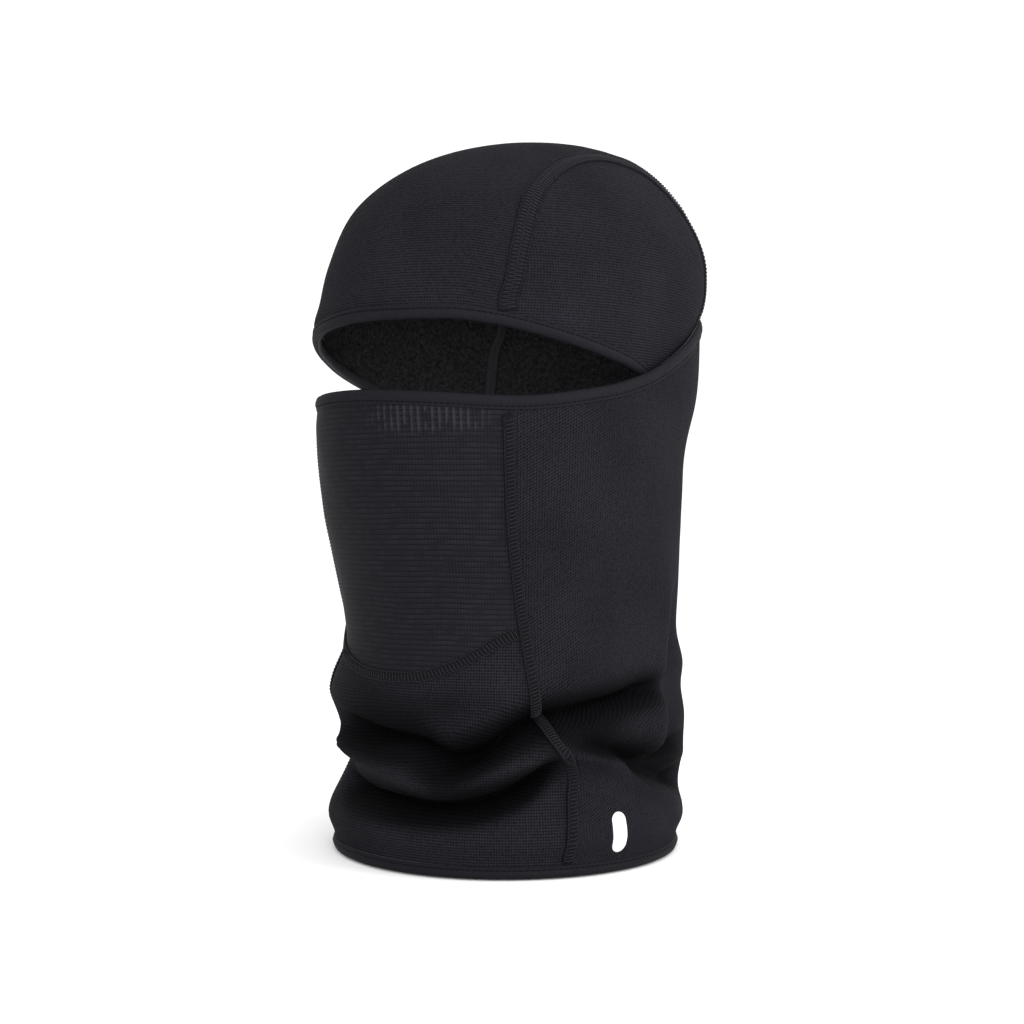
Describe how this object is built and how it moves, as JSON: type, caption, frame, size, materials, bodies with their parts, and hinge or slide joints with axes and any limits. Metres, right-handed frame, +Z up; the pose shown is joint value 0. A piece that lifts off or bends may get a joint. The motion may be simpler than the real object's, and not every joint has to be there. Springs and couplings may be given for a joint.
{
  "type": "hinged balaclava",
  "caption": "Fleece balaclava with a hood nested in a bound neck tube; the woven face mask pulls down and the hood tips back about the nape.",
  "frame": {"origin": "on the resting plane of the hem, under the middle of the object's box", "axes": "+Z up through the crown, -Y the way the face looks, +X the wearer's left"},
  "size_m": [0.1644, 0.2051, 0.318],
  "materials": {
    "fleece": "fine grid-faced stretch knit, brushed inside",
    "mask_cloth": "smooth ribbed stretch woven",
    "binding": "smooth fold-over elastic",
    "thread": "polyester flatlock thread",
    "reflective": "silver-grey heat transfer film"
  },
  "bodies": {
    "collar": {"hem_binding": "binding", "collar_front": "fleece", "collar_left": "fleece", "collar_right": "fleece", "neck_front": "fleece", "neck_left": "fleece", "neck_right": "fleece", "front_seam_left_collar": "thread", "front_seam_left_neck": "thread", "front_seam_right_collar": "thread", "front_seam_right_neck": "thread", "back_seam_collar": "thread", "back_seam_neck": "thread", "reflective_tab": "reflective", "hood_neck": "fleece", "join_seam": "thread"},
    "face_mask": {"mask_panel": "mask_cloth", "cheek_left": "fleece", "cheek_right": "fleece", "rim_binding": "binding", "chin_seam": "thread", "front_seam_left_upper": "thread", "front_seam_right_upper": "thread", "back_seam_upper": "thread"},
    "hood": {"crown_panel": "fleece", "hood_side_left": "fleece", "hood_side_right": "fleece", "face_binding": "binding", "hood_seam_left": "thread", "hood_seam_right": "thread"}
  },
  "joints": [
    {"name": "mask_pull_down", "type": "slide", "parent": "collar", "child": "face_mask", "axis": [0, 0, -1], "range_m": [0, 0.04], "deforming": ["neck_front", "neck_left", "neck_right", "front_seam_left_neck", "front_seam_right_neck", "back_seam_neck"]},
    {"name": "hood_tip_back", "type": "hinge", "parent": "collar", "child": "hood", "pos_m": [0, 0.098, 0.252], "axis": [-1, 0, 0], "range_deg": [0, 35]}
  ]
}
